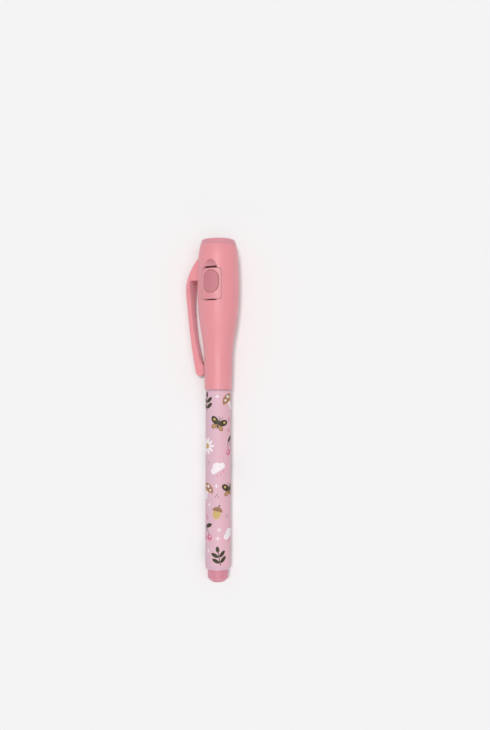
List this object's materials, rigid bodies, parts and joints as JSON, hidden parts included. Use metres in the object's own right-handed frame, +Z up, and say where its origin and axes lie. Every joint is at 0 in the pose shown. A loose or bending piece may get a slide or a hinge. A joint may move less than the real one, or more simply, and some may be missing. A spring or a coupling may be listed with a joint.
{
  "type": "uv invisible ink pen",
  "caption": "Fibre-tip pen with a printed barrel and a bulbous clip cap that holds a small UV lamp, its button cells, a battery door and a push button.",
  "frame": {"origin": "middle of the pen's box on the surface that it lies on", "axes": "+Y along the pen towards the lamp end, within 2 degrees of its axis, +Z up, with the button up and the clip low at -X"},
  "size_m": [0.0224, 0.1426, 0.0177],
  "materials": {
    "cap_plastic": "satin moulded pink plastic with a fine grain",
    "button_plastic": "darker pink plastic, satin",
    "nose_plastic": "satin pink plastic, a shade darker than the cap",
    "plug_plastic": "satin pink plastic",
    "barrel_plastic": "pale pink plastic",
    "print_film": null,
    "section_plastic": "off-white moulded plastic",
    "nib_fibre": "white bonded fibre",
    "reservoir_fibre": "white spun fibre",
    "wrap_film": "clear film",
    "inner_plastic": "natural white plastic",
    "lens_resin": "clear resin with a faint violet tint",
    "tinned_wire": "tinned steel",
    "cell_steel": "nickel-plated steel",
    "spring_steel": "nickel-plated spring strip",
    "leaf_brass": "spring brass strip"
  },
  "bodies": {
    "pen": {"barrel": "barrel_plastic", "print_sleeve": "print_film", "tail_plug": "plug_plastic", "grip_section": "section_plastic", "nib": "nib_fibre", "ink_reservoir": "reservoir_fibre", "reservoir_wrap": "wrap_film"},
    "cap": {"cap_shell": "cap_plastic", "inner_cap": "inner_plastic", "nose_ring": "nose_plastic", "uv_led": "lens_resin", "led_cathode_lead": "tinned_wire", "led_anode_lead": "tinned_wire", "cell_cradle": "cap_plastic", "button_cell_1": "cell_steel", "button_cell_2": "cell_steel", "button_cell_3": "cell_steel", "cell_spring": "spring_steel", "switch_leaf": "leaf_brass"},
    "battery_door": {"battery_door": "cap_plastic"},
    "push_button": {"push_button": "button_plastic"}
  },
  "joints": [
    {"name": "cap_pull", "type": "slide", "parent": "pen", "child": "cap", "axis": [0, 0.9995, 0.0304], "range_m": [0, 0.04]},
    {"name": "battery_door_hinge", "type": "hinge", "parent": "cap", "child": "battery_door", "pos_m": [-0.00091, 0.04566, 0.01651], "axis": [0.9207, -0.0118, 0.3901], "range_deg": [0, 55]},
    {"name": "button_press", "type": "slide", "parent": "battery_door", "child": "push_button", "axis": [0.3902, 0.028, -0.9203], "range_m": [0, 0.0006], "stiffness_N_per_m": 1500, "deforming": ["switch_leaf"]}
  ]
}
